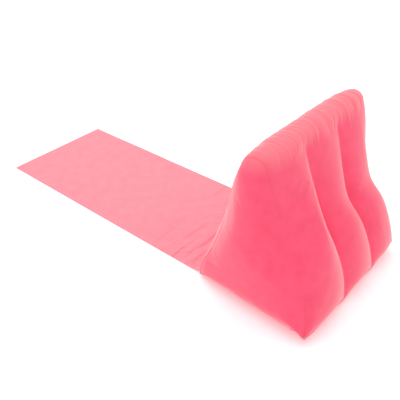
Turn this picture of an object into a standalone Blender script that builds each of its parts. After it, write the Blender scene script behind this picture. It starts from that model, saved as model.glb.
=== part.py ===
"""Inflatable wedge mat: an air-filled backrest wedge with a flat flocked mat hinged along its front edge.

Units are metres and +Z is up. The mat runs towards -Y and the wedge stands at +Y, so a person sits facing -Y.
The origin is on the floor, at the centre of the whole footprint. Left is +X, the sitter's left.
"""

import math

import bmesh
import bpy
import numpy as np

# --- driving dimensions -------------------------------------------------------------------------
MAT_WIDTH = 0.400
MAT_INNER_LENGTH = 0.500  # from the wedge's front seam to the fold
MAT_OUTER_LENGTH = 0.413  # from the fold to the far end
MAT_THICKNESS = 0.0012
MAT_RAMP_LENGTH = 0.055  # the mat comes down from the seam to the floor over this length
MAT_COLUMNS, MAT_ROWS = 8, 10
FOLD_GAP = 0.0006  # the crease's width between the two halves of the mat
FOLD_AXIS_ABOVE = 0.0005  # the fold's axis is this far above the mat's top

PANEL_THICKNESS = 0.0008
SEAM_RADIUS = 0.0012
SEAM_INSET = 0.0021  # a panel's edge stops this far from its seam's centreline
SEAM_END_GAP = 0.0026  # a cross seam's end stops this far from a side seam's centreline
LOBES = 3  # two ribs split the front and back panels into three lobes
RIB_FEET = (0.395, 0.722)  # where the ribs meet the back base seam, from the left ear
RIB_FOOT_RISE = 0.60  # the ribs lean over to their feet below this fraction of the back

# Seam points on the left side, measured from the floor under the middle of the front base seam.
FRONT_CORNER = (0.211, 0.000, 0.011)
FRONT_TOP = (0.227, 0.142, 0.438)
BACK_TOP = (0.222, 0.205, 0.452)
BACK_CORNER = (0.243, 0.358, 0.030)
FRONT_SEAM = [
    FRONT_CORNER,
    (0.208, 0.006, 0.055),
    (0.205, 0.034, 0.125),
    (0.204, 0.074, 0.235),
    (0.214, 0.109, 0.355),
    FRONT_TOP,
]
RIDGE_ARC = [FRONT_TOP, (0.229, 0.154, 0.454), (0.229, 0.173, 0.463), (0.226, 0.192, 0.461), BACK_TOP]
BACK_SEAM = [
    BACK_CORNER,
    (0.222, 0.344, 0.106),
    (0.213, 0.314, 0.178),
    (0.199, 0.271, 0.244),
    (0.203, 0.247, 0.319),
    (0.219, 0.225, 0.390),
    BACK_TOP,
]
BASE_SEAM = [FRONT_CORNER, (0.212, 0.080, 0.011), (0.219, 0.192, 0.012), (0.230, 0.297, 0.018), BACK_CORNER]

# How far each panel stands out of its seams, at equal steps up the panel.
BACK_BULGE = (0.016, 0.018, 0.022, 0.026, 0.027, 0.024, 0.018, 0.012, 0.010, 0.010, 0.010)
FRONT_BULGE = (0.008, 0.012, 0.018, 0.022, 0.024, 0.023, 0.019, 0.014, 0.012)
SIDE_BULGE = (0.020, 0.027, 0.032, 0.036, 0.037, 0.034, 0.029, 0.024, 0.018)
FULL_LOBE = 0.016  # the left lobe stands this much further out across the waist of the back
WAIST, WAIST_REACH = 0.45, 0.17  # as fractions of the way up the back and over the ridge
EDGE_ROUNDING = 0.10  # a panel's bulge rises over this fraction of its height from a seam
BULGE_POWER = 6  # higher makes a lobe's crown flatter and its edges steeper
CREASE_POWER = 0.7  # lower makes a crease sharper
BASE_CURL = 0.050  # the base leaves the floor this far in from its seams
EAR_WIDTH = 0.035  # a back corner's ear reaches this far along the back base seam
BACK_SEAM_DROP = 0.012  # the back base seam runs this much lower between its ears
COLUMNS = 24  # across the front, back and base panels
RISE_ROWS = 18  # up the front and back seams
ARC_ROWS = 10  # along the base seam and over the ridge's end
RIB_LOW, RIB_HIGH = 0.05, 0.93  # the ribs' ends, as fractions of the way up the front panel
RIB_CLEARANCE = 0.0016
RIB_COLUMNS = 6

# Valve on the right side panel, turned about an axis along -X. Distances are from the panel's face outwards.
VALVE_Y, VALVE_Z = 0.227, 0.125
PAD_RADIUS = 0.026
PAD_BLEND = 0.040
GAP = 0.0003
FLANGE_RADIUS = 0.0170
FLANGE_THICKNESS = 0.0014
BARREL_RADIUS, BARREL_BORE, BARREL_DEPTH = 0.0090, 0.0069, 0.0160
HOLE_RADIUS = 0.0094
STEM_RADIUS, STEM_BORE, STEM_DEPTH = 0.0064, 0.0043, 0.0180
LIP_RADIUS, LIP_THICKNESS = 0.0085, 0.0016
LIP_SEAT_GAP = 0.0005  # the lip stays this far off the flange when the stem is pushed in
PLUG_RADIUS, PLUG_THICKNESS = 0.0072, 0.0016
STUB_RADIUS, STUB_LENGTH = 0.0034, 0.0030
STRAP_THICKNESS, STRAP_WIDTH = 0.0012, 0.0050
STRAP_HINGE_DOWN = 0.01125  # the plug's hinge is this far below the valve's axis
KNUCKLE_LENGTH = 0.0018
FLAP_RADIUS, FLAP_THICKNESS = 0.0054, 0.0008
FLAP_HINGE_UP = 0.0058
VALVE_STEPS = 24
MERGE_DISTANCE = 0.00001

# --- materials: name, colour, roughness -----------------------------------------------------------
FLOCK = ("flocked_vinyl", (0.98, 0.16, 0.27), 0.85)
VINYL = ("plain_vinyl", (0.93, 0.13, 0.23), 0.45)
FILM = ("rib_film", (0.90, 0.72, 0.74), 0.40)
SOFT = ("valve_vinyl", (0.90, 0.86, 0.84), 0.30)


# --- curves -------------------------------------------------------------------------------------
def catmull_rom(q, t):
    """A point on the smooth span between q[1] and q[2]."""
    slope = (q[2] - q[0]) * t
    bend = (2 * q[0] - 5 * q[1] + 4 * q[2] - q[3]) * t**2
    twist = (3 * q[1] - q[0] - 3 * q[2] + q[3]) * t**3
    return 0.5 * (2 * q[1] + slope + bend + twist)


def smooth_points(points, steps=24):
    """Closely spaced points on a smooth curve through points."""
    p = np.array(points, float)
    padded = np.vstack([2 * p[0] - p[1], p, 2 * p[-1] - p[-2]])
    spans = [catmull_rom(padded[i : i + 4], k / steps) for i in range(len(p) - 1) for k in range(steps)]
    return np.vstack([*spans, p[-1]])


def smooth_value(values, t):
    """A smooth curve through values at equal steps of t from 0 to 1."""
    p = np.array([2 * values[0] - values[1], *values, 2 * values[-1] - values[-2]])
    place = min(max(t, 0), 1) * (len(values) - 1)
    i = min(int(place), len(values) - 2)
    return catmull_rom(p[i : i + 4], place - i)


class Path:
    """A polyline read by the fraction of its length."""

    def __init__(self, points):
        self.points = points
        self.along = np.concatenate([[0], np.cumsum(np.linalg.norm(np.diff(points, axis=0), axis=1))])
        self.length = self.along[-1]

    def at(self, fraction):
        s = fraction * self.length
        return np.array([np.interp(s, self.along, self.points[:, k]) for k in range(3)])

    def normal(self, fraction, reach=0.02):
        """The profile's normal in the YZ plane, on the right of the way the path runs."""
        run = self.at(min(1, fraction + reach)) - self.at(max(0, fraction - reach))
        side = np.array([0, run[2], -run[1]])
        return side / np.linalg.norm(side)


front_seam = Path(smooth_points(FRONT_SEAM))
ridge_arc = Path(smooth_points(RIDGE_ARC))
back_seam = Path(smooth_points(BACK_SEAM))
base_seam = Path(smooth_points(BASE_SEAM))
back_profile = Path(np.vstack([back_seam.points, ridge_arc.points[-2::-1]]))
RIDGE_START = back_seam.length / back_profile.length


def even(count):
    return [k / count for k in range(count + 1)]


def smooth_step(low, high, x):
    t = min(1, max(0, (x - low) / (high - low)))
    return t * t * (3 - 2 * t)


def inset(fraction, length):
    """The fraction held away from both ends by the seam inset."""
    margin = SEAM_INSET / length
    return min(max(fraction, margin), 1 - margin)


def valley(u):
    """1 on a rib's line, 0 at the crown of a lobe and outside the outer crowns."""
    outer_crown = 0.5 / LOBES
    if u < outer_crown or u > 1 - outer_crown:
        return 0
    return 1 - math.sin(math.pi * (LOBES * u % 1)) ** CREASE_POWER


def rounded_edges(v):
    """0 at both ends, rising steeply to 1 within the edge rounding."""
    return 1 - max(0, 1 - min(v, 1 - v) / EDGE_ROUNDING) ** 3


def crown(u):
    """0 at both side seams, rising steeply to 1 over the middle."""
    return (1 - abs(2 * u - 1) ** BULGE_POWER) ** 0.6


def lean(t, foot_share):
    """The fraction across at column t, once the ribs are moved foot_share of the way to their feet."""
    ribs = [(k + 1) / LOBES + (foot - (k + 1) / LOBES) * foot_share for k, foot in enumerate(RIB_FEET)]
    return float(np.interp(t, (0, 1 / LOBES, 2 / LOBES, 1), (0, *ribs, 1)))


def across(path, v, u):
    """A point between the left side seam (u = 0) and its mirror on the right (u = 1)."""
    x, y, z = path.at(v)
    return np.array([x * (1 - 2 * inset(u, 2 * x)), y, z])


def back_base_shift(t):
    """How the back base seam dips between the ears, least under the lobes."""
    from_ear = min(t, 1 - t) * 2 * BACK_CORNER[0]
    drop = BACK_SEAM_DROP * (1 - math.exp(-((from_ear / EAR_WIDTH) ** 2)))
    under_lobe = (1 - valley(t)) * smooth_step(0, 0.3, min(t, 1 - t) * LOBES)
    return np.array([0, 0.25 * drop, drop * (0.6 * under_lobe - 1)])


# --- panel surfaces, t across and v up or back, from 0 to 1 -----------------------------------------
def left_lobe_fullness(t, v):
    share = smooth_step(0, 0.5 / LOBES, t) * (1 - valley(t)) if t < 1 / LOBES else 0
    return FULL_LOBE * share * math.exp(-(((v - WAIST) / WAIST_REACH) ** 2))


def back_surface(t, v):
    """From the back base seam up the back and over the ridge to the front top seam."""
    v_in = inset(v, back_profile.length)
    ribbed = 1 - smooth_step(RIDGE_START - 0.06, RIDGE_START + 0.03, v)
    bulge = smooth_value(BACK_BULGE, v) * rounded_edges(v) * crown(t) * (1 - ribbed * valley(t))
    bulge += left_lobe_fullness(t, v)
    base_shift = back_base_shift(t) * (1 - smooth_step(0, 0.25, v))
    u = lean(t, 1 - smooth_step(0, RIB_FOOT_RISE, v))
    return across(back_profile, v_in, u) + base_shift + bulge * back_profile.normal(v)


def front_surface(t, v):
    """From the front base seam up the face that the sitter leans on."""
    v_in = inset(v, front_seam.length)
    ribbed = 1 - smooth_step(0.86, 0.98, v)
    bulge = smooth_value(FRONT_BULGE, v) * rounded_edges(v) * crown(t) * (1 - ribbed * valley(t))
    return across(front_seam, v_in, t) - bulge * front_seam.normal(v)


def held_in(loop):
    """A clockwise loop, seen from +X, moved in by the seam inset with mitred corners."""
    run = np.roll(loop, -1, axis=0)[:, 1:] - loop[:, 1:]
    inward = np.column_stack([run[:, 1], -run[:, 0]]) / np.linalg.norm(run, axis=1)[:, None]
    before = np.roll(inward, 1, axis=0)
    mitre = (inward + before) / (1 + np.sum(inward * before, axis=1))[:, None]
    return loop + SEAM_INSET * np.column_stack([np.zeros(len(loop)), mitre])


def seam_loop():
    """The left side seam's points: up the front, over the ridge, down the back and along the base."""
    rise, arc = even(RISE_ROWS)[:-1], even(ARC_ROWS)[:-1]
    loop = [front_seam.at(v) for v in rise] + [ridge_arc.at(v) for v in arc]
    return np.array(loop + [back_seam.at(1 - v) for v in rise] + [base_seam.at(1 - v) for v in arc])


def side_edges():
    """The side panel's front, ridge, back and base edges, each from its low or front end."""
    loop = held_in(seam_loop())
    top, back, base = RISE_ROWS, RISE_ROWS + ARC_ROWS, 2 * RISE_ROWS + ARC_ROWS
    closed = np.vstack([loop, loop[:1]])
    return closed[: top + 1], closed[top : back + 1], closed[back : base + 1][::-1], closed[base:][::-1]


def along(points, fraction):
    place = fraction * (len(points) - 1)
    i = min(int(place), len(points) - 2)
    return points[i] + (points[i + 1] - points[i]) * (place - i)


def side_surface(u, v):
    """The left side panel: a patch between its four edges, pushed out by the air."""
    front, ridge, back, base = SIDE_EDGES
    p = (1 - v) * along(base, u) + v * along(ridge, u) + (1 - u) * along(front, v) + u * along(back, v)
    p = p - (1 - v) * ((1 - u) * base[0] + u * base[-1]) - v * ((1 - u) * ridge[0] + u * ridge[-1])
    p[0] += smooth_value(SIDE_BULGE, v) * rounded_edges(v) * (4 * u * (1 - u)) ** 0.6
    return p


SIDE_EDGES = side_edges()


def face_x_at(y, z, steps=60):
    """How far out the side panel stands at a place seen from the side."""
    places = [side_surface(i / steps, j / steps) for i in range(steps + 1) for j in range(steps + 1)]
    return min(places, key=lambda p: math.hypot(p[1] - y, p[2] - z))[0]


VALVE_FACE_X = face_x_at(VALVE_Y, VALVE_Z)


def right_side_surface(u, v):
    """The right side panel, with a flat pad where the valve is welded on."""
    p = side_surface(u, v)
    away = math.hypot(p[1] - VALVE_Y, p[2] - VALVE_Z)
    p[0] += (VALVE_FACE_X - p[0]) * (1 - smooth_step(PAD_RADIUS, PAD_RADIUS + PAD_BLEND, away))
    return p * np.array([-1, 1, 1])


def base_surface(t, v):
    """Flat on the floor, curling up to the seams round its edge."""
    side = base_seam.at(v)
    back = np.array(BACK_CORNER) + back_base_shift(t)
    shift = (back[1] - BACK_CORNER[1]) * smooth_step(0.7, 1, v)
    x, y, _ = across(base_seam, inset(v, base_seam.length), lean(t, v * v))
    to_side = side[0] - abs(x) - SEAM_INSET
    to_front, to_back = y - SEAM_INSET, BACK_CORNER[1] - SEAM_INSET - y
    edges = ((side[2], to_side), (FRONT_CORNER[2], to_front), (back[2], to_back))
    z = max(height * max(0, 1 - distance / BASE_CURL) ** 2 for height, distance in edges)
    return np.array([x, y + shift, z])


def rib_surface(t):
    """The inner web at column t, from the front panel's valley to the back panel's."""

    def surface(u, v):
        rise = RIB_LOW + (RIB_HIGH - RIB_LOW) * v
        front, back = front_surface(t, rise), back_surface(t, rise * RIDGE_START)
        inward = (back - front) / np.linalg.norm(back - front) * RIB_CLEARANCE
        return front + inward + (back - front - 2 * inward) * u

    return surface


def mat_underside(y):
    """The mat's height over the floor, from its seam at y = 0 outwards to -Y."""
    start = FRONT_CORNER[2] - MAT_THICKNESS / 2
    return start * max(0, 1 + y / MAT_RAMP_LENGTH) ** 2


# --- building blocks ----------------------------------------------------------------------------
def empty_scene():
    for obj in list(bpy.data.objects):
        bpy.data.objects.remove(obj, do_unlink=True)


def material(kind):
    name, colour, roughness = kind
    found = bpy.data.materials.get(name)
    if found:
        return found
    made = bpy.data.materials.new(name)
    made.use_nodes = True
    shader = made.node_tree.nodes["Principled BSDF"]
    shader.inputs["Base Color"].default_value = (*colour, 1)
    shader.inputs["Roughness"].default_value = roughness
    return made


def add_object(name, data, kind, location=(0, 0, 0), parent=None):
    obj = bpy.data.objects.new(name, data)
    parts.objects.link(obj)
    obj.data.materials.append(material(kind))
    obj.location = location
    obj.parent = parent or root
    return obj


def hinge_at(name, location):
    """An empty on a hinge's axis, which the pieces that swing on it are parented to."""
    hinge = bpy.data.objects.new(name, None)
    parts.objects.link(hinge)
    hinge.location = location
    hinge.parent = root
    return hinge


def sheet(name, surface, columns, rows, kind, outward, location=(0, 0, 0), thickness=PANEL_THICKNESS):
    """A thin shell whose outer face is the surface at the columns' u and the rows' v, looking outward."""
    maker = bmesh.new()
    bmesh.ops.create_grid(maker, x_segments=len(columns) - 1, y_segments=len(rows) - 1, size=0.5)
    for vert in maker.verts:
        column = round((vert.co.x + 0.5) * (len(columns) - 1))
        row = round((vert.co.y + 0.5) * (len(rows) - 1))
        vert.co = surface(columns[column], rows[row])
    maker.normal_update()
    facing = sum(face.normal.dot(outward) * face.calc_area() for face in maker.faces)
    if facing < 0:
        bmesh.ops.reverse_faces(maker, faces=maker.faces)
    mesh = bpy.data.meshes.new(name)
    maker.to_mesh(mesh)
    maker.free()
    mesh.shade_smooth()
    obj = add_object(name, mesh, kind, location)
    shell = obj.modifiers.new("thickness", "SOLIDIFY")
    shell.thickness = thickness
    shell.offset = -1
    return obj


def bead(name, points, kind, closed=False):
    """A round weld bead along points."""
    curve = bpy.data.curves.new(name, "CURVE")
    curve.dimensions = "3D"
    curve.bevel_depth = SEAM_RADIUS
    curve.bevel_resolution = 1
    curve.use_fill_caps = True
    spline = curve.splines.new("POLY")
    spline.points.add(len(points) - 1)
    for point, place in zip(spline.points, points):
        point.co = (*place, 1)
    spline.use_cyclic_u = closed
    return add_object(name, curve, kind)


def turned(name, profile, kind, location, parent=None, closed=True):
    """A round piece from (radius, distance outwards) pairs, turned about its own X axis."""
    points = [(-out, 0, radius) for radius, out in profile]
    edges = [(i, i + 1) for i in range(len(points) - 1)]
    if closed:
        edges.append((len(points) - 1, 0))
    mesh = bpy.data.meshes.new(name)
    mesh.from_pydata(points, edges, [])
    obj = add_object(name, mesh, kind, location, parent)
    turn = obj.modifiers.new("turn", "SCREW")
    turn.axis = "X"
    turn.steps = VALVE_STEPS
    turn.render_steps = VALVE_STEPS
    turn.use_merge_vertices = True
    turn.merge_threshold = MERGE_DISTANCE
    return obj


def solid_turned(name, profile, kind, location, parent=None):
    """A turned piece with no bore: its profile starts and ends on the axis."""
    ends = [(0, profile[0][1])], [(0, profile[-1][1])]
    return turned(name, ends[0] + profile + ends[1], kind, location, parent, closed=False)


def bar(name, outline, kind, location, parent=None):
    """A straight bar along Y from (down, outwards) pairs, as wide as the strap."""
    curve = bpy.data.curves.new(name, "CURVE")
    curve.dimensions = "2D"
    curve.fill_mode = "BOTH"
    curve.extrude = STRAP_WIDTH / 2
    spline = curve.splines.new("POLY")
    spline.points.add(len(outline) - 1)
    for point, (down, out) in zip(spline.points, outline):
        point.co = (-out, -down, 0, 1)
    spline.use_cyclic_u = True
    obj = add_object(name, curve, kind, location, parent)
    obj.rotation_euler = (math.radians(90), 0, 0)
    return obj


# --- the wedge ----------------------------------------------------------------------------------
def placed(surface):
    """The surface moved from the front seam's frame to the part's frame."""
    return lambda u, v: surface(u, v) + np.array([0, SEAM_Y, 0])


def add_panels():
    across_all, rise, arc = even(COLUMNS), even(RISE_ROWS), even(ARC_ROWS)
    up_and_over = [RIDGE_START * v for v in rise] + [RIDGE_START + (1 - RIDGE_START) * v for v in arc[1:]]
    sheet("back_panel", placed(back_surface), across_all, up_and_over, FLOCK, (0, 1, 0))
    sheet("front_panel", placed(front_surface), across_all, rise, FLOCK, (0, -1, 0))
    sheet("base_panel", placed(base_surface), across_all, arc, VINYL, (0, 0, -1))
    sheet("left_side_panel", placed(side_surface), arc, rise, FLOCK, (1, 0, 0))
    right = sheet("right_side_panel", placed(right_side_surface), arc, rise, FLOCK, (-1, 0, 0))
    add_valve_hole(right)


def add_valve_hole(panel):
    profile = [(HOLE_RADIUS, -BARREL_DEPTH), (HOLE_RADIUS, BARREL_DEPTH)]
    cutter = solid_turned("valve_hole_cutter", profile, VINYL, VALVE_FACE)
    parts.objects.unlink(cutter)
    cutters.objects.link(cutter)
    cutter.display_type = "WIRE"
    cutter.hide_render = True
    hole = panel.modifiers.new("valve hole", "BOOLEAN")
    hole.operation = "DIFFERENCE"
    hole.solver = "EXACT"
    hole.object = cutter


def add_ribs():
    columns, rows = even(RIB_COLUMNS), even(RISE_ROWS)
    sheet("left_rib", placed(rib_surface(1 / LOBES)), columns, rows, FILM, (1, 0, 0))
    sheet("right_rib", placed(rib_surface(2 / LOBES)), columns, rows, FILM, (-1, 0, 0))


def add_seams():
    loop = seam_loop() + np.array([0, SEAM_Y, 0])
    bead("left_side_seam", loop, VINYL, closed=True)
    bead("right_side_seam", loop * np.array([-1, 1, 1]), VINYL, closed=True)
    crossing("front_base_seam", FRONT_CORNER, even(2))
    crossing("ridge_seam", FRONT_TOP, even(2))
    crossing("back_base_seam", BACK_CORNER, even(COLUMNS), back_base_shift, 1)


def crossing(name, corner, columns, shift=lambda t: np.zeros(3), foot_share=0):
    """A straight or wavy bead from the left side seam to the right one."""
    x, y, z = corner
    margin = SEAM_END_GAP / (2 * x)
    held = [(t, min(max(lean(t, foot_share), margin), 1 - margin)) for t in columns]
    points = [np.array([x * (1 - 2 * u), y + SEAM_Y, z]) + shift(t) for t, u in held]
    return bead(name, points, VINYL)


# --- the mat ------------------------------------------------------------------------------------
def add_mat():
    hinge = np.array([0, SEAM_Y, FRONT_CORNER[2]])
    fold = np.array([0, SEAM_Y - MAT_INNER_LENGTH, MAT_THICKNESS + FOLD_AXIS_ABOVE])

    def inner(u, v):
        run = v**1.6  # rows are closer together on the ramp by the wedge
        y = -SEAM_INSET - run * (MAT_INNER_LENGTH - SEAM_INSET - FOLD_GAP / 2)
        top = mat_underside(y) + MAT_THICKNESS
        return np.array([MAT_WIDTH * (0.5 - u), y, top - hinge[2]])

    def outer(u, v):
        y = -FOLD_GAP / 2 - v * (MAT_OUTER_LENGTH - FOLD_GAP / 2)
        return np.array([MAT_WIDTH * (0.5 - u), y, -FOLD_AXIS_ABOVE])

    up, across_mat = (0, 0, 1), even(MAT_COLUMNS)
    sheet("mat_inner_half", inner, across_mat, even(2 * MAT_ROWS), FLOCK, up, hinge, MAT_THICKNESS)
    sheet("mat_outer_half", outer, across_mat, even(MAT_ROWS), FLOCK, up, fold, MAT_THICKNESS)


# --- the valve ----------------------------------------------------------------------------------
def add_valve():
    flange_top = GAP + FLANGE_THICKNESS
    lip_low = flange_top + LIP_SEAT_GAP
    lip_top = lip_low + LIP_THICKNESS
    plug_low = lip_top + GAP
    add_flange(flange_top)
    add_stem(lip_low, lip_top)
    hinge_out = plug_low + STRAP_THICKNESS
    add_strap_lug(lip_low - hinge_out, lip_top - hinge_out, hinge_out)
    add_plug(plug_low - hinge_out, hinge_out)
    add_flap()


def valve_place(out=0.0, up=0.0):
    x, y, z = VALVE_FACE
    return (x - out, y, z + up)


def add_flange(top):
    chamfer = 0.0005
    profile = [
        (BARREL_BORE, -BARREL_DEPTH),
        (BARREL_RADIUS, -BARREL_DEPTH),
        (BARREL_RADIUS, GAP),
        (FLANGE_RADIUS, GAP),
        (FLANGE_RADIUS, top - chamfer),
        (FLANGE_RADIUS - chamfer, top),
        (BARREL_BORE, top),
    ]
    turned("valve_flange", profile, SOFT, valve_place())


def add_stem(lip_low, lip_top):
    profile = [
        (STEM_BORE, -STEM_DEPTH),
        (STEM_RADIUS, -STEM_DEPTH),
        (STEM_RADIUS, lip_low),
        (LIP_RADIUS, lip_low),
        (LIP_RADIUS, lip_top),
        (STEM_BORE, lip_top),
    ]
    turned("valve_stem", profile, SOFT, valve_place())


def add_strap_lug(low, middle, hinge_out):
    """The stem's half of the strap: it reaches under the plug's half and turns up beyond the hinge."""
    start = LIP_RADIUS + GAP - STRAP_HINGE_DOWN
    end = GAP + KNUCKLE_LENGTH
    outline = [(start, low), (end, low), (end, 0), (GAP, 0), (GAP, middle), (start, middle)]
    bar("strap_lug", outline, SOFT, valve_place(hinge_out, -STRAP_HINGE_DOWN))


def add_plug(low, hinge_out):
    hinge = hinge_at("plug_hinge", valve_place(hinge_out, -STRAP_HINGE_DOWN))
    profile = [
        (STUB_RADIUS, low - STUB_LENGTH),
        (STUB_RADIUS, low),
        (PLUG_RADIUS, low),
        (PLUG_RADIUS, low + PLUG_THICKNESS),
    ]
    solid_turned("valve_plug", profile, SOFT, (0, 0, STRAP_HINGE_DOWN), hinge)
    start = PLUG_RADIUS + GAP - STRAP_HINGE_DOWN
    bar("plug_strap", [(start, low), (-GAP, low), (-GAP, 0), (start, 0)], SOFT, (0, 0, 0), hinge)


def add_flap():
    hinge = hinge_at("flap_hinge", valve_place(-STEM_DEPTH - GAP, FLAP_HINGE_UP))
    profile = [(FLAP_RADIUS, -FLAP_THICKNESS), (FLAP_RADIUS, 0)]
    solid_turned("valve_flap", profile, SOFT, (0, 0, -FLAP_HINGE_UP), hinge)


# --- build --------------------------------------------------------------------------------------
empty_scene()
back_reach = max(back_surface(t, v)[1] for t in even(COLUMNS) for v in even(RISE_ROWS))
SEAM_Y = (MAT_INNER_LENGTH + MAT_OUTER_LENGTH - back_reach) / 2
VALVE_FACE = (-VALVE_FACE_X, VALVE_Y + SEAM_Y, VALVE_Z)
parts = bpy.data.collections.new("incline_wedge_mat")
cutters = bpy.data.collections.new("cutters")
bpy.context.scene.collection.children.link(parts)
bpy.context.scene.collection.children.link(cutters)
root = bpy.data.objects.new("wedge", None)
parts.objects.link(root)
add_panels()
add_ribs()
add_seams()
add_mat()
add_valve()
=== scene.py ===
"""Looks for the inflatable wedge mat: its air-filled skin, flocked mat, seams, valve, lights and camera.

Units are metres and +Z is up. The mat runs towards -Y and the wedge stands at +Y.
"""

import math

import bmesh
import bpy
import numpy as np
from mathutils import Matrix, Vector, kdtree, noise


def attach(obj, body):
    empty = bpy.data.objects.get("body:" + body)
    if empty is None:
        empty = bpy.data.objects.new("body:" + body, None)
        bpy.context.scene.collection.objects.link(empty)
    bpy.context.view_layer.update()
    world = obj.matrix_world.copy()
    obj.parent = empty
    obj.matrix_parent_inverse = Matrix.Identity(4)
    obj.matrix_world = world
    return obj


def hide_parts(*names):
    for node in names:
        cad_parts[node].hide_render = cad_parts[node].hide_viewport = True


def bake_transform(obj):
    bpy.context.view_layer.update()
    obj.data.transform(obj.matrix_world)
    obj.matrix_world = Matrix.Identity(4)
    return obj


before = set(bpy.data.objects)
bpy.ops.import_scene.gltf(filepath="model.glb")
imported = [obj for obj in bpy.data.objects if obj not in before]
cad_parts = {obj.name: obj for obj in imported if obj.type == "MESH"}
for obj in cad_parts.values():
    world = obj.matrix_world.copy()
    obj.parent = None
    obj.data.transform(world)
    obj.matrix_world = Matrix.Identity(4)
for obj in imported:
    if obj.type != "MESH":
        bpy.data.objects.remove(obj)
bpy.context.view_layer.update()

# --- the wedge's seams, measured from the floor under the middle of the front base seam ------------
SEAM_Y = 0.270778
FRONT_CORNER = (0.211, 0.000, 0.011)
FRONT_TOP = (0.227, 0.142, 0.438)
BACK_TOP = (0.222, 0.205, 0.452)
BACK_CORNER = (0.243, 0.358, 0.030)
FRONT_SEAM = [
    FRONT_CORNER,
    (0.208, 0.006, 0.055),
    (0.205, 0.034, 0.125),
    (0.204, 0.074, 0.235),
    (0.214, 0.109, 0.355),
    FRONT_TOP,
]
RIDGE_ARC = [FRONT_TOP, (0.229, 0.154, 0.454), (0.229, 0.173, 0.463), (0.226, 0.192, 0.461), BACK_TOP]
BACK_SEAM = [
    BACK_CORNER,
    (0.222, 0.344, 0.106),
    (0.213, 0.314, 0.178),
    (0.199, 0.271, 0.244),
    (0.203, 0.247, 0.319),
    (0.219, 0.225, 0.390),
    BACK_TOP,
]
BASE_SEAM = [FRONT_CORNER, (0.212, 0.080, 0.011), (0.219, 0.192, 0.012), (0.230, 0.297, 0.018), BACK_CORNER]

LOBES = 3
RIB_FEET = (0.395, 0.722)  # where the ribs meet the back base seam, from the left ear
RIB_FOOT_RISE = 0.60  # the ribs lean over to their feet below this fraction of the back
BACK_BULGE = (0.016, 0.018, 0.022, 0.026, 0.027, 0.024, 0.018, 0.012, 0.010, 0.010, 0.010)
FRONT_BULGE = (0.008, 0.012, 0.018, 0.022, 0.024, 0.023, 0.019, 0.014, 0.012)
SIDE_BULGE = (0.020, 0.027, 0.032, 0.036, 0.037, 0.034, 0.029, 0.024, 0.018)
FULL_LOBE = 0.016  # the left lobe stands this much further out across the waist of the back
WAIST, WAIST_REACH = 0.45, 0.17  # as fractions of the way up the back and over the ridge
EDGE_ROUNDING = 0.10  # a panel's bulge rises over this fraction of its height from a seam
BULGE_POWER = 6  # higher makes a lobe's crown flatter and its edges steeper
ROUNDNESS = 0.6  # lower makes a bulge rise more steeply from its side seams
CREASE_POWER = 0.7  # lower makes a crease sharper
BACK_CREASE_FADE = (-0.06, 0.03)  # the creases fade out over this stretch round the ridge's start
FRONT_CREASE_FADE = (0.86, 0.98)
BASE_CURL = 0.050  # the base leaves the floor this far in from its seams
BASE_SHIFT_START = 0.7  # the base follows the back seam's dip from this far back
EAR_WIDTH = 0.035  # a back corner's ear reaches this far along the back base seam
BACK_SEAM_DROP = 0.012  # the back base seam runs this much lower between its ears
DROP_BACK = 0.25  # it also moves back by this share of the drop
LOBE_LIFT, LOBE_BLEND = 0.6, 0.3  # a lobe takes back this share of the drop, within this share of its width
DROP_FADE = 0.25  # the drop is gone this far up the back
RIB_TOP = 0.93  # the ribs end this far up the front panel
RIB_BELOW_RIDGE = 0.035  # and this far below the ridge's start on the back

COLUMNS = 72  # across the front, back and base panels, a multiple of LOBES
RISE_ROWS = 76
ARC_ROWS = 32
WELD_DISTANCE = 0.0003
TINY = 1e-9

# --- the air-pressure simulation of the skin --------------------------------------------------------
AIR_PRESSURE = 4.0
AIR_FRAMES = 20
AIR_CAP = 0.012  # a point moves no further than this
SPARE_LENGTH = 0.035  # the skin's spare length where it is loosest
SPARE = {"back": 0.25, "front": 0.3, "base": 0.0, "left_side": 0.15, "right_side": 0.15}
RIDGE_SPARE_FADE = (-0.16, 0.02)  # the back grows loosest over this stretch round the ridge's start
FLOOR_TOUCH = 0.001  # the base is held where it is closer than this to the floor
FILM = {
    "quality": 6,
    "mass": 0.3,
    "tension_stiffness": 40,
    "compression_stiffness": 40,
    "shear_stiffness": 20,
    "bending_stiffness": 0.3,
}

# --- the mat ------------------------------------------------------------------------------------
MAT_WIDTH = 0.400
MAT_LENGTH = 0.913
MAT_SPLIT = 0.270  # the mat's two pieces meet this far from the wedge
MAT_FOLD = 0.500
MAT_THICKNESS = 0.0012
SEAM_GAP = 0.0012  # the mat starts this far from the wedge's seam
MAT_RAMP_LENGTH = 0.055  # the mat comes down from the seam to the floor over this length
MAT_CELL = 0.005
MAT_EDGE_ANGLE = math.radians(50)  # edges sharper than this are shaded sharp
LOOKS_DOWN = -0.5  # a face whose normal's Z is under this is on the mat's underside

# --- the valve and the welds ----------------------------------------------------------------------
VALVE_Y, VALVE_Z = 0.227, 0.125
VALVE_FACE_X = 0.237815
PAD_RADIUS, PAD_BLEND = 0.026, 0.040
VALVE_HOLE_RADIUS, VALVE_POCKET, VALVE_HOLE_STEPS = 0.0094, 0.045, 48
WELD_RADIUS = 0.0008

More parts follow.
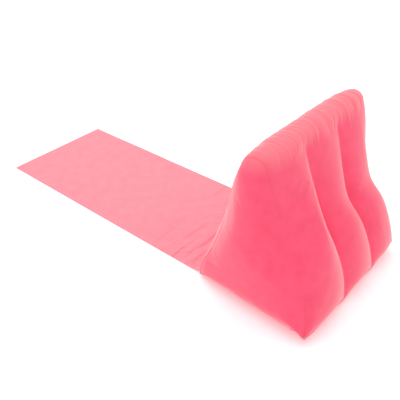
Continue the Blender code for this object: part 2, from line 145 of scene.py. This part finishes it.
# --- wrinkles: waves per metre across and along, and the noise's layer ---------------------------------
RIDGE_WRINKLE = 0.0030  # the height of the wrinkles that run over the ridge
RIDGE_TOP_Z, RIDGE_MIDDLE_Y, RIDGE_SIDE_X = 0.466, 0.178, 0.235
RIDGE_SIDE_FADE = 0.03
WRINKLE_DEPTH = 0.12  # there are no wrinkles further than this below the ridge's top
WRINKLE_REACH, REACH_CHANGE = 0.034, 0.024  # how far down they run, and how much that changes
REACH_WAVES, REACH_ROW = 14, 3.1
REACH_FADE = (0.3, 1.8)
WRINKLE_DRIFT, DRIFT_WAVES = 0.010, (20, 18, 1.7)
FINE_WAVES, BROAD_WAVES, BROAD_SHARE = (110, 11, 0.4), (62, 7, 5.2), 0.55

MAT_WRINKLE = 0.0050
GATHER_REACH, GATHER_START = 0.17, 0.02  # the mat is gathered over this length by the wedge
GATHER_WAVES, FINE_GATHER_WAVES, FINE_GATHER_SHARE = (62, 7, 2.3), (120, 10, 8), 0.6
MAT_WAVE, MAT_WAVE_LIFT = 0.0004, 0.8
SWELL_WAVES, FINE_SWELL_WAVES, FINE_SWELL_SHARE = (9, 7, 4.4), (25, 18, 1.1), 0.5
FLAT_BY_FOLD, FLAT_BY_SEAM = 0.06, 0.03
PUCKER = 0.0030  # the pucker at the mat's corner by the wedge
PUCKER_PLACE, PUCKER_LENGTH, PUCKER_WIDTH = 0.020, 0.012, 0.020

# --- materials: colours run between a lowest and a highest; a noise is its scale and detail -------------
WEDGE_PINK = (0.94, 0.083, 0.166), (0.99, 0.104, 0.197)
# painted light: the mat is the same flock as the wedge, painted paler for the light from above on its flat
# face
MAT_LIT_PINK = (0.95, 0.265, 0.325), (0.99, 0.300, 0.360)
# painted highlight: a paler pink over the ridge, for the light falling on it from above
RIDGE_HIGHLIGHT_PINK = (0.97, 0.185, 0.235)
HIGHLIGHT_FROM, HIGHLIGHT_TO = 0.415, 0.470  # the painted highlight over the ridge fades in between these heights
# painted shade: deeper pink streaks for the shade of the wrinkles where the mat is gathered by the wedge
STREAK_SHADE_PINK = (0.97, 0.150, 0.215)
STREAK_TURN, STREAK_SCALE, STREAK_REACH = math.radians(35), (6, 60, 1), 0.34
STREAK_EDGE = (0.50, 0.72)  # the noise turns into a streak between these values
PILE = {"roughness": 0.85, "drift": (28, 9), "grain": (900, 2), "bump": (0.25, 0.0005)}
PILE_SPECULAR = 0.1
SHEEN, SHEEN_ROUGHNESS, SHEEN_TINT = 0.75, 0.42, (1.0, 0.90, 0.84)
VINYL_PINK = (0.88, 0.075, 0.150), (0.94, 0.095, 0.180)
VINYL = {"roughness": 0.42, "drift": (14, 3), "grain": (220, 3), "bump": (0.10, 0.0004)}
RIB_TONE = (0.82, 0.55, 0.58), (0.90, 0.64, 0.67)
RIB_FILM = {"roughness": 0.38, "drift": (20, 3), "grain": (150, 3), "bump": (0.12, 0.0004)}
VALVE_TONE = (0.80, 0.72, 0.70), (0.88, 0.81, 0.79)
VALVE_VINYL = {"roughness": 0.28, "drift": (60, 3), "grain": (500, 2), "bump": (0.08, 0.0002)}
VALVE_GLOW, VALVE_GLOW_DEPTH = 0.25, 0.003  # light scattered under the valve's surface
DRIFT_ENDS = (0.30, 0.70)  # the noise's values where the lowest and the highest colour are reached
MIX_FACTOR, MIX_A, MIX_B, MIX_RESULT = 0, 6, 7, 2  # a Mix node's sockets for colours

# --- studio -------------------------------------------------------------------------------------
WHITE = (1, 1, 1, 1)
FLOOR_SIZE, FLOOR_GAP = 30, 0.0005
FLOOR_ROUGHNESS, FLOOR_DRIFT = 0.9, (2, 2)
FLOOR_TONE = (0.92, 0.92, 0.92), (0.95, 0.95, 0.95)
FLOOR_GLOW = 0.22  # the floor is lit from below like a photographer's light table
WORLD_STRENGTH = 0.80
TOP_LIGHT_PLACE, TOP_LIGHT_AIM, TOP_LIGHT_SIZE, TOP_LIGHT_POWER = (0.1, -0.2, 3.0), (0, 0.1, 0), 3.5, 45
CAMERA_YAW, CAMERA_PITCH, CAMERA_ROLL = math.radians(228.9), math.radians(34.91), math.radians(-1.01)
CAMERA_PLACE = (1.064, 0.750 + SEAM_Y, 1.056)
CAMERA_LENS, CAMERA_SENSOR = 49.0, 36.0


# --- curves -------------------------------------------------------------------------------------
def catmull_rom(q, t):
    slope = (q[2] - q[0]) * t
    bend = (2 * q[0] - 5 * q[1] + 4 * q[2] - q[3]) * t**2
    twist = (3 * q[1] - q[0] - 3 * q[2] + q[3]) * t**3
    return 0.5 * (2 * q[1] + slope + bend + twist)


def smooth_points(points, steps=24):
    p = np.array(points, float)
    padded = np.vstack([2 * p[0] - p[1], p, 2 * p[-1] - p[-2]])
    spans = [catmull_rom(padded[i : i + 4], k / steps) for i in range(len(p) - 1) for k in range(steps)]
    return np.vstack([*spans, p[-1]])


def smooth_value(values, t):
    p = np.array([2 * values[0] - values[1], *values, 2 * values[-1] - values[-2]])
    place = min(max(t, 0), 1) * (len(values) - 1)
    i = min(int(place), len(values) - 2)
    return catmull_rom(p[i : i + 4], place - i)


class Path:
    """A polyline read by the fraction of its length."""

    def __init__(self, points):
        self.points = points
        self.along = np.concatenate([[0], np.cumsum(np.linalg.norm(np.diff(points, axis=0), axis=1))])
        self.length = self.along[-1]

    def at(self, fraction):
        s = fraction * self.length
        return np.array([np.interp(s, self.along, self.points[:, k]) for k in range(3)])

    def normal(self, fraction, reach=0.02):
        run = self.at(min(1, fraction + reach)) - self.at(max(0, fraction - reach))
        side = np.array([0, run[2], -run[1]])
        return side / np.linalg.norm(side)


front_seam = Path(smooth_points(FRONT_SEAM))
ridge_arc = Path(smooth_points(RIDGE_ARC))
back_seam = Path(smooth_points(BACK_SEAM))
base_seam = Path(smooth_points(BASE_SEAM))
back_profile = Path(np.vstack([back_seam.points, ridge_arc.points[-2::-1]]))
RIDGE_START = back_seam.length / back_profile.length


def even(count):
    return [k / count for k in range(count + 1)]


def smooth_step(low, high, x):
    t = min(1, max(0, (x - low) / (high - low)))
    return t * t * (3 - 2 * t)


def valley(u):
    outer_crown = 0.5 / LOBES
    if u < outer_crown or u > 1 - outer_crown:
        return 0
    return 1 - math.sin(math.pi * (LOBES * u % 1)) ** CREASE_POWER


def rounded_edges(v):
    """0 at both ends, rising steeply to 1 within the edge rounding."""
    return 1 - max(0, 1 - min(v, 1 - v) / EDGE_ROUNDING) ** 3


def crown(u):
    return (1 - abs(2 * u - 1) ** BULGE_POWER) ** ROUNDNESS


def lean(t, foot_share):
    """The fraction across at column t, once the ribs are moved foot_share of the way to their feet."""
    ribs = [(k + 1) / LOBES + (foot - (k + 1) / LOBES) * foot_share for k, foot in enumerate(RIB_FEET)]
    return float(np.interp(t, (0, 1 / LOBES, 2 / LOBES, 1), (0, *ribs, 1)))


def across(path, v, u):
    """A point between the left side seam (u = 0) and its mirror on the right (u = 1)."""
    x, y, z = path.at(v)
    return np.array([x * (1 - 2 * u), y, z])


def back_base_shift(t):
    """How the back base seam dips between the ears, least under the lobes."""
    from_ear = min(t, 1 - t) * 2 * BACK_CORNER[0]
    drop = BACK_SEAM_DROP * (1 - math.exp(-((from_ear / EAR_WIDTH) ** 2)))
    under_lobe = (1 - valley(t)) * smooth_step(0, LOBE_BLEND, min(t, 1 - t) * LOBES)
    return np.array([0, DROP_BACK * drop, drop * (LOBE_LIFT * under_lobe - 1)])


# --- panel surfaces, t across and v up or back, from 0 to 1 -----------------------------------------
def left_lobe_fullness(t, v):
    """How much further out the left lobe stands, most at the waist of the back."""
    share = smooth_step(0, 0.5 / LOBES, t) * (1 - valley(t)) if t < 1 / LOBES else 0
    return FULL_LOBE * share * math.exp(-(((v - WAIST) / WAIST_REACH) ** 2))


def back_surface(t, v):
    """From the back base seam up the back and over the ridge to the front top seam."""
    fade_start, fade_end = BACK_CREASE_FADE
    ribbed = 1 - smooth_step(RIDGE_START + fade_start, RIDGE_START + fade_end, v)
    bulge = smooth_value(BACK_BULGE, v) * rounded_edges(v) * crown(t) * (1 - ribbed * valley(t))
    bulge += left_lobe_fullness(t, v)
    base_shift = back_base_shift(t) * (1 - smooth_step(0, DROP_FADE, v))
    u = lean(t, 1 - smooth_step(0, RIB_FOOT_RISE, v))
    return across(back_profile, v, u) + base_shift + bulge * back_profile.normal(v)


def front_surface(t, v):
    """From the front base seam up the face that the sitter leans on."""
    ribbed = 1 - smooth_step(*FRONT_CREASE_FADE, v)
    bulge = smooth_value(FRONT_BULGE, v) * rounded_edges(v) * crown(t) * (1 - ribbed * valley(t))
    return across(front_seam, v, t) - bulge * front_seam.normal(v)


def side_surface(u, v):
    """The left side panel: a patch between its four seams, pushed out by the air."""
    p = (1 - v) * base_seam.at(u) + v * ridge_arc.at(u) + (1 - u) * front_seam.at(v) + u * back_seam.at(v)
    low = (1 - u) * np.array(FRONT_CORNER) + u * np.array(BACK_CORNER)
    high = (1 - u) * np.array(FRONT_TOP) + u * np.array(BACK_TOP)
    p = p - (1 - v) * low - v * high
    p[0] += smooth_value(SIDE_BULGE, v) * rounded_edges(v) * (4 * u * (1 - u)) ** ROUNDNESS
    return p


def right_side_surface(u, v):
    """The right side panel, with a flat pad where the valve is welded on."""
    p = side_surface(u, v)
    away = math.hypot(p[1] - VALVE_Y, p[2] - VALVE_Z)
    p[0] += (VALVE_FACE_X - p[0]) * (1 - smooth_step(PAD_RADIUS, PAD_RADIUS + PAD_BLEND, away))
    return p * np.array([-1, 1, 1])


def base_surface(t, v):
    """Flat on the floor, curling up to the seams round its edge."""
    side = base_seam.at(v)
    back = np.array(BACK_CORNER) + back_base_shift(t)
    shift = (back[1] - BACK_CORNER[1]) * smooth_step(BASE_SHIFT_START, 1, v)
    x, y, _ = across(base_seam, v, lean(t, v * v))
    edges = ((side[2], side[0] - abs(x)), (FRONT_CORNER[2], y), (back[2], BACK_CORNER[1] - y))
    z = max(height * max(0, 1 - distance / BASE_CURL) ** 2 for height, distance in edges)
    return np.array([x, y + shift, z])


# --- the skin -----------------------------------------------------------------------------------
def add_panel(maker, layers, kind, surface, columns, rows):
    """Adds a grid of the surface to the skin, with each vertex's spare length and what holds it."""
    grid = []
    for v in rows:
        row = []
        for u in columns:
            vert = maker.verts.new(surface(u, v) + np.array([0, SEAM_Y, 0]))
            vert[layers["spare"]] = spare_share(kind, v)
            vert[layers["held"]] = held_share(kind, u, v, vert.co)
            row.append(vert)
        grid.append(row)
    for low, high in zip(grid, grid[1:]):
        for i in range(len(columns) - 1):
            face = maker.faces.new((low[i], low[i + 1], high[i + 1], high[i]))
            face.material_index = int(kind == "base")


def held_share(kind, u, v, place):
    """1 where a rib's weld, the floor or the valve holds the skin still, and 0 where it is free."""
    on_rib = any(abs(u - k / LOBES) < TINY for k in range(1, LOBES))
    if kind == "back":
        return float(on_rib and v < RIDGE_START - RIB_BELOW_RIDGE)
    if kind == "front":
        return float(on_rib and v < RIB_TOP)
    if kind == "base":
        return float(place[2] < FLOOR_TOUCH)
    on_pad = math.hypot(place[1] - SEAM_Y - VALVE_Y, place[2] - VALVE_Z) < PAD_RADIUS
    return float(kind == "right_side" and on_pad)


def spare_share(kind, v):
    """How loose a panel is: the back is loosest over the ridge, where the film has to bend two ways."""
    if kind != "back":
        return SPARE[kind]
    fade_start, fade_end = RIDGE_SPARE_FADE
    over_ridge = smooth_step(RIDGE_START + fade_start, RIDGE_START + fade_end, v)
    return SPARE[kind] + (1 - SPARE[kind]) * over_ridge


def build_skin():
    maker = bmesh.new()
    layers = {name: maker.verts.layers.float.new(name) for name in ("spare", "held")}
    columns, rise, arc = even(COLUMNS), even(RISE_ROWS), even(ARC_ROWS)
    up_and_over = [RIDGE_START * v for v in rise] + [RIDGE_START + (1 - RIDGE_START) * v for v in arc[1:]]
    add_panel(maker, layers, "back", back_surface, columns, up_and_over)
    add_panel(maker, layers, "front", front_surface, columns, rise)
    add_panel(maker, layers, "base", base_surface, columns, arc)
    add_panel(maker, layers, "left_side", side_surface, arc, rise)
    add_panel(maker, layers, "right_side", right_side_surface, arc, rise)
    bmesh.ops.remove_doubles(maker, verts=maker.verts, dist=WELD_DISTANCE)
    bmesh.ops.recalc_face_normals(maker, faces=maker.faces)
    return finished("wedge_skin", maker)


def finished(name, maker):
    """A smooth-shaded object from the mesh in the maker."""
    mesh = bpy.data.meshes.new(name)
    maker.to_mesh(mesh)
    maker.free()
    mesh.shade_smooth()
    made = bpy.data.objects.new(name, mesh)
    bpy.context.scene.collection.objects.link(made)
    return made


def positions(mesh):
    flat = np.empty(len(mesh.vertices) * 3)
    mesh.vertices.foreach_get("co", flat)
    return flat.reshape(-1, 3)


def normals(mesh):
    flat = np.empty(len(mesh.vertices) * 3)
    mesh.vertex_normals.foreach_get("vector", flat)
    return flat.reshape(-1, 3)


def set_positions(mesh, places):
    mesh.vertices.foreach_set("co", places.ravel())
    mesh.update()


def add_air(skin):
    """Fills the skin with air by a short cloth simulation with pressure, with a cap on how far points move."""
    for name in ("spare", "held"):
        group = skin.vertex_groups.new(name=name)
        for i, value in enumerate(skin.data.attributes[name].data):
            if value.value > 0:
                group.add([i], value.value, "REPLACE")
    rest = positions(skin.data)
    cloth = skin.modifiers.new("air", "CLOTH")
    settings = cloth.settings
    for name, value in FILM.items():
        setattr(settings, name, value)
    settings.vertex_group_mass = "held"
    settings.use_pressure = True
    settings.uniform_pressure_force = AIR_PRESSURE
    settings.vertex_group_shrink = "spare"
    settings.shrink_min = 0
    settings.shrink_max = -SPARE_LENGTH
    settings.effector_weights.gravity = 0
    cloth.collision_settings.use_collision = False
    cloth.point_cache.frame_end = AIR_FRAMES
    for number in range(1, AIR_FRAMES + 1):
        bpy.context.scene.frame_set(number)
    moved = positions(skin.evaluated_get(bpy.context.evaluated_depsgraph_get()).data) - rest
    skin.modifiers.remove(cloth)
    far = np.linalg.norm(moved, axis=1)
    share = AIR_CAP * np.tanh(far / AIR_CAP) / np.maximum(far, TINY)
    set_positions(skin.data, rest + moved * share[:, None])


def add_ridge_wrinkles(skin):
    """Short wrinkles that run over the ridge and down to the tops of the creases."""
    places, outward = positions(skin.data), normals(skin.data)
    heights = np.array([ridge_wrinkle(Vector(p)) for p in places])
    set_positions(skin.data, places + outward * heights[:, None])


def wavy(x, y, waves):
    """Smooth noise between -1 and 1, with so many waves per metre along x and y, in its own layer."""
    across_waves, along_waves, layer = waves
    return noise.noise(Vector((x * across_waves, y * along_waves, layer)))


def ridge_wrinkle(p):
    """The wrinkle's height at a point of the skin: a fold where the noise is near 0."""
    from_top = RIDGE_TOP_Z - p.z
    behind = p.y - SEAM_Y - RIDGE_MIDDLE_Y
    if from_top > WRINKLE_DEPTH:
        return 0.0
    reach = WRINKLE_REACH + REACH_CHANGE * noise.noise(Vector((p.x * REACH_WAVES, REACH_ROW, 0)))
    window = 1 - smooth_step(REACH_FADE[0] * reach, REACH_FADE[1] * reach, from_top)
    edge = smooth_step(0, RIDGE_SIDE_FADE, RIDGE_SIDE_X - abs(p.x))
    drift = WRINKLE_DRIFT * wavy(p.x, behind, DRIFT_WAVES)
    fine = wavy(p.x + drift, behind, FINE_WAVES)
    broad = wavy(p.x + drift, behind, BROAD_WAVES)
    return RIDGE_WRINKLE * window * edge * (BROAD_SHARE * broad - abs(fine))


def seam_tube(name, points, closed):
    """A thin raised weld line along points."""
    curve = bpy.data.curves.new(name, "CURVE")
    curve.dimensions = "3D"
    curve.bevel_depth = WELD_RADIUS
    curve.bevel_resolution = 2
    spline = curve.splines.new("POLY")
    spline.points.add(len(points) - 1)
    for point, place in zip(spline.points, points):
        point.co = (*place, 1)
    spline.use_cyclic_u = closed
    made = bpy.data.objects.new(name, curve)
    bpy.context.scene.collection.objects.link(made)
    return made


def add_seams(rest, blown, look):
    """A weld line along each seam, where the air has moved it."""
    finder = kdtree.KDTree(len(rest))
    for i, place in enumerate(rest):
        finder.insert(place, i)
    finder.balance()
    columns, rise, arc = even(COLUMNS), even(RISE_ROWS), even(ARC_ROWS)
    side = [front_seam.at(v) for v in rise[:-1]] + [ridge_arc.at(v) for v in arc[:-1]]
    side += [back_seam.at(1 - v) for v in rise[:-1]] + [base_seam.at(1 - v) for v in arc[:-1]]
    flip = np.array([-1, 1, 1])
    runs = {
        "left_side_seam": (side, True),
        "right_side_seam": ([p * flip for p in side], True),
        "front_base_seam": ([front_surface(t, 0) for t in columns], False),
        "ridge_seam": ([front_surface(t, 1) for t in columns], False),
        "back_base_seam": ([back_surface(t, 0) for t in columns], False),
    }
    for name, (points, closed) in runs.items():
        places = [blown[finder.find(p + np.array([0, SEAM_Y, 0]))[1]] for p in points]
        weld = seam_tube(name + "_weld", places, closed)
        weld.data.materials.append(look)
        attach(weld, "wedge")
        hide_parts(name)


def refine(obj):
    """Applies one level of subdivision."""
    finer = obj.modifiers.new("finer", "SUBSURF")
    finer.levels = finer.render_levels = 1
    keep_modified(obj)


def keep_modified(obj):
    """Replaces the object's mesh with its modified one and clears the modifiers."""
    evaluated = obj.evaluated_get(bpy.context.evaluated_depsgraph_get())
    mesh = bpy.data.meshes.new_from_object(evaluated)
    obj.modifiers.clear()
    obj.data = mesh


def cut_valve_hole(skin):
    """Sinks a narrow pocket where the valve's barrel goes in."""
    bpy.ops.mesh.primitive_cylinder_add(
        vertices=VALVE_HOLE_STEPS, radius=VALVE_HOLE_RADIUS, depth=2 * VALVE_POCKET
    )
    cutter = bpy.context.object
    cutter.rotation_euler = (0, math.pi / 2, 0)
    cutter.location = (-VALVE_FACE_X, VALVE_Y + SEAM_Y, VALVE_Z)
    hole = skin.modifiers.new("valve hole", "BOOLEAN")
    hole.operation = "DIFFERENCE"
    hole.object = cutter
    keep_modified(skin)
    bpy.data.objects.remove(cutter)


# --- the mat ------------------------------------------------------------------------------------
def mat_height(x, s):
    """The height of the mat's underside over the floor, s metres from the wedge's seam."""
    start = FRONT_CORNER[2] - MAT_THICKNESS / 2
    ramp = start * max(0, 1 - s / MAT_RAMP_LENGTH) ** 2
    along, aside = (x + s) / math.sqrt(2), (x - s) / math.sqrt(2)
    streak = wavy(aside, along, GATHER_WAVES) + FINE_GATHER_SHARE * wavy(aside, along, FINE_GATHER_WAVES)
    gathered = math.exp(-((s / GATHER_REACH) ** 2)) * smooth_step(0, GATHER_START, s)
    wave = wavy(x, s, SWELL_WAVES) + FINE_SWELL_SHARE * wavy(x, s, FINE_SWELL_WAVES)
    free = smooth_step(0, FLAT_BY_FOLD, abs(s - MAT_FOLD)) * smooth_step(0, FLAT_BY_SEAM, s)
    from_edge, from_pucker = MAT_WIDTH / 2 - abs(x), s - PUCKER_PLACE
    corner = math.exp(-((from_edge / PUCKER_WIDTH) ** 2) - ((from_pucker / PUCKER_LENGTH) ** 2))
    low = MAT_WRINKLE * gathered * abs(streak) + MAT_WAVE * free * (wave + MAT_WAVE_LIFT)
    return ramp + max(0, low) + PUCKER * corner


def build_mat(name, start, end):
    """One piece of the mat between two distances from the wedge's seam."""
    maker = bmesh.new()
    columns, rows = round(MAT_WIDTH / MAT_CELL), round((end - start) / MAT_CELL)
    bmesh.ops.create_grid(maker, x_segments=columns, y_segments=rows, size=0.5)
    for vert in maker.verts:
        x, s = MAT_WIDTH * vert.co.x, start + (0.5 - vert.co.y) * (end - start)
        vert.co = (x, SEAM_Y - s, mat_height(x, s))
    piece = finished(name, maker)
    shell = piece.modifiers.new("thickness", "SOLIDIFY")
    shell.thickness = MAT_THICKNESS
    shell.offset = 1
    shell.material_offset = 1
    keep_modified(piece)
    piece.data.set_sharp_from_angle(angle=MAT_EDGE_ANGLE)
    return piece


def add_mat(top_look, under_look):
    spans = (("mat_near_sheet", SEAM_GAP, MAT_SPLIT), ("mat_far_sheet", MAT_SPLIT, MAT_LENGTH))
    near, far = [build_mat(name, start, end) for name, start, end in spans]
    for piece, (_, start, end) in zip((near, far), spans):
        piece.data.materials.append(top_look)
        piece.data.materials.append(under_look)
        paint_underside(piece.data)
    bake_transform(near)
    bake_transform(far)
    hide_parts("mat_inner_half")
    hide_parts("mat_outer_half")


def paint_underside(mesh):
    """The mat is flocked on top only: faces that look down take the second material."""
    for face in mesh.polygons:
        face.material_index = int(face.normal.z < LOOKS_DOWN)


# --- materials ----------------------------------------------------------------------------------
def new_look(name, roughness):
    made = bpy.data.materials.new(name)
    made.use_nodes = True
    made.node_tree.nodes["Principled BSDF"].inputs["Roughness"].default_value = roughness
    return made


def add_noise(look, scale, detail):
    nodes, links = look.node_tree.nodes, look.node_tree.links
    texture = nodes.new("ShaderNodeTexNoise")
    texture.inputs["Scale"].default_value = scale
    texture.inputs["Detail"].default_value = detail
    links.new(nodes.new("ShaderNodeTexCoord").outputs["Object"], texture.inputs["Vector"])
    return texture


def add_colour_range(look, texture, low, high):
    """The base colour drifts from low to high with the texture."""
    nodes, links = look.node_tree.nodes, look.node_tree.links
    ramp = nodes.new("ShaderNodeValToRGB")
    for stop, colour, place in zip(ramp.color_ramp.elements, (low, high), DRIFT_ENDS):
        stop.color = (*colour, 1)
        stop.position = place
    links.new(texture.outputs["Fac"], ramp.inputs["Fac"])
    links.new(ramp.outputs["Color"], nodes["Principled BSDF"].inputs["Base Color"])


def add_bump(look, texture, strength, distance):
    nodes, links = look.node_tree.nodes, look.node_tree.links
    bump = nodes.new("ShaderNodeBump")
    bump.inputs["Strength"].default_value = strength
    bump.inputs["Distance"].default_value = distance
    links.new(texture.outputs["Fac"], bump.inputs["Height"])
    links.new(bump.outputs["Normal"], nodes["Principled BSDF"].inputs["Normal"])


def grained(name, tones, roughness, drift, grain, bump):
    """A surface whose colour drifts between two tones, with a fine grain in its relief."""
    look = new_look(name, roughness)
    add_colour_range(look, add_noise(look, *drift), *tones)
    add_bump(look, add_noise(look, *grain), *bump)
    return look


def flock(name, tones):
    """Short velvet flock on vinyl film, paler where it is seen along the pile."""
    look = grained(name, tones, **PILE)
    shader = look.node_tree.nodes["Principled BSDF"]
    shader.inputs["Specular IOR Level"].default_value = PILE_SPECULAR
    shader.inputs["Sheen Weight"].default_value = SHEEN
    shader.inputs["Sheen Roughness"].default_value = SHEEN_ROUGHNESS
    shader.inputs["Sheen Tint"].default_value = (*SHEEN_TINT, 1)
    return look


def object_axis(look, axis):
    """One coordinate of the object's own space, in metres."""
    nodes, links = look.node_tree.nodes, look.node_tree.links
    split = nodes.new("ShaderNodeSeparateXYZ")
    links.new(nodes.new("ShaderNodeTexCoord").outputs["Object"], split.inputs["Vector"])
    return split.outputs[axis]


def ranged(look, value, low, high):
    """0 below low and 1 above high, with a smooth step between them."""
    nodes, links = look.node_tree.nodes, look.node_tree.links
    step = nodes.new("ShaderNodeMapRange")
    step.interpolation_type = "SMOOTHSTEP"
    step.inputs["From Min"].default_value = low
    step.inputs["From Max"].default_value = high
    links.new(value, step.inputs["Value"])
    return step.outputs["Result"]


def mix_in(look, colour, share):
    """Mixes a colour into the base colour where the share is over 0."""
    nodes, links = look.node_tree.nodes, look.node_tree.links
    mix = nodes.new("ShaderNodeMix")
    mix.data_type = "RGBA"
    base = nodes["Principled BSDF"].inputs["Base Color"]
    links.new(share, mix.inputs[MIX_FACTOR])
    links.new(base.links[0].from_socket, mix.inputs[MIX_A])
    mix.inputs[MIX_B].default_value = (*colour, 1)
    links.new(mix.outputs[MIX_RESULT], base)


def wedge_flock():
    """Deep pink on the wedge's faces, with a painted highlight: a paler pink above a given height over the
    ridge, for the light falling on it from above.
    """
    look = flock("wedge_flock_look", WEDGE_PINK)
    mix_in(look, RIDGE_HIGHLIGHT_PINK, ranged(look, object_axis(look, "Z"), HIGHLIGHT_FROM, HIGHLIGHT_TO))
    return look


def mat_flock():
    """Painted light: a paler pink than the wedge's flock, for the light from above on the flat mat, with
    deeper streaks of painted shade where the mat is gathered by the wedge.
    """
    look = flock("mat_flock_look", MAT_LIT_PINK)
    nodes, links = look.node_tree.nodes, look.node_tree.links
    turned = nodes.new("ShaderNodeMapping")
    turned.inputs["Rotation"].default_value = (0, 0, STREAK_TURN)
    turned.inputs["Scale"].default_value = STREAK_SCALE
    links.new(nodes.new("ShaderNodeTexCoord").outputs["Object"], turned.inputs["Vector"])
    streaks = nodes.new("ShaderNodeTexNoise")
    streaks.inputs["Scale"].default_value = 1
    links.new(turned.outputs["Vector"], streaks.inputs["Vector"])
    both = nodes.new("ShaderNodeMath")
    both.operation = "MULTIPLY"
    links.new(ranged(look, streaks.outputs["Fac"], *STREAK_EDGE), both.inputs[0])
    near = ranged(look, object_axis(look, "Y"), SEAM_Y - STREAK_REACH, SEAM_Y)
    links.new(near, both.inputs[1])
    # painted shade of the wrinkles, in streaks near the wedge
    mix_in(look, STREAK_SHADE_PINK, both.outputs["Value"])
    return look


def plain_vinyl():
    """Satin vinyl film without flock, with the same painted highlight over the ridge as the flock."""
    look = grained("plain_vinyl_look", VINYL_PINK, **VINYL)
    mix_in(look, RIDGE_HIGHLIGHT_PINK, ranged(look, object_axis(look, "Z"), HIGHLIGHT_FROM, HIGHLIGHT_TO))
    return look


def valve_vinyl():
    """Soft milky vinyl that lets a little light in."""
    look = grained("valve_vinyl_look", VALVE_TONE, **VALVE_VINYL)
    shader = look.node_tree.nodes["Principled BSDF"]
    shader.inputs["Subsurface Weight"].default_value = VALVE_GLOW
    shader.inputs["Subsurface Scale"].default_value = VALVE_GLOW_DEPTH
    return look


def dress_node(name, look):
    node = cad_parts[name]
    node.data.materials.clear()
    node.data.materials.append(look)


# --- studio -------------------------------------------------------------------------------------
def add_light(name, place, aim, size, power):
    data = bpy.data.lights.new(name, "AREA")
    data.shape = "DISK"
    data.size = size
    data.energy = power
    lamp = bpy.data.objects.new(name, data)
    bpy.context.scene.collection.objects.link(lamp)
    lamp.location = place
    lamp.rotation_euler = (Vector(aim) - Vector(place)).to_track_quat("-Z", "Y").to_euler()


def add_floor():
    bpy.ops.mesh.primitive_plane_add(size=FLOOR_SIZE, location=(0, 0, -FLOOR_GAP))
    floor = bpy.context.object
    floor.name = "floor"
    look = new_look("floor_look", FLOOR_ROUGHNESS)
    shader = look.node_tree.nodes["Principled BSDF"]
    shader.inputs["Emission Color"].default_value = WHITE
    shader.inputs["Emission Strength"].default_value = FLOOR_GLOW
    add_colour_range(look, add_noise(look, *FLOOR_DRIFT), *FLOOR_TONE)
    floor.data.materials.append(look)


def add_camera():
    data = bpy.data.cameras.new("camera")
    camera = bpy.data.objects.new("camera", data)
    bpy.context.scene.collection.objects.link(camera)
    data.sensor_width = CAMERA_SENSOR
    data.lens = CAMERA_LENS
    level = math.cos(CAMERA_PITCH)
    forward = Vector((math.sin(CAMERA_YAW) * level, math.cos(CAMERA_YAW) * level, -math.sin(CAMERA_PITCH)))
    roll = Matrix.Rotation(CAMERA_ROLL, 3, "Z").to_quaternion()
    camera.rotation_mode = "QUATERNION"
    camera.rotation_quaternion = forward.to_track_quat("-Z", "Y") @ roll
    camera.location = CAMERA_PLACE
    bpy.context.scene.camera = camera


def add_world():
    world = bpy.data.worlds.new("studio")
    world.use_nodes = True
    background = world.node_tree.nodes["Background"]
    background.inputs["Color"].default_value = WHITE
    background.inputs["Strength"].default_value = WORLD_STRENGTH
    bpy.context.scene.world = world
    bpy.context.scene.view_settings.view_transform = "Standard"


# --- build --------------------------------------------------------------------------------------
wedge_look, mat_look = wedge_flock(), mat_flock()
vinyl, film, soft = plain_vinyl(), grained("rib_film_look", RIB_TONE, **RIB_FILM), valve_vinyl()
skin = build_skin()
skin_rest = positions(skin.data)
add_air(skin)
add_seams(skin_rest, positions(skin.data), vinyl)
refine(skin)
add_ridge_wrinkles(skin)
cut_valve_hole(skin)
skin.data.materials.clear()
skin.data.materials.append(wedge_look)
skin.data.materials.append(vinyl)
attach(skin, "wedge")
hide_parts("front_panel", "back_panel", "base_panel", "left_side_panel", "right_side_panel")
add_mat(mat_look, vinyl)
for rib in ("left_rib", "right_rib"):
    dress_node(rib, film)
for piece in ("valve_flange", "valve_stem", "strap_lug", "valve_plug", "plug_strap", "valve_flap"):
    dress_node(piece, soft)
add_floor()
add_world()
add_camera()
add_light("top", TOP_LIGHT_PLACE, TOP_LIGHT_AIM, TOP_LIGHT_SIZE, TOP_LIGHT_POWER)
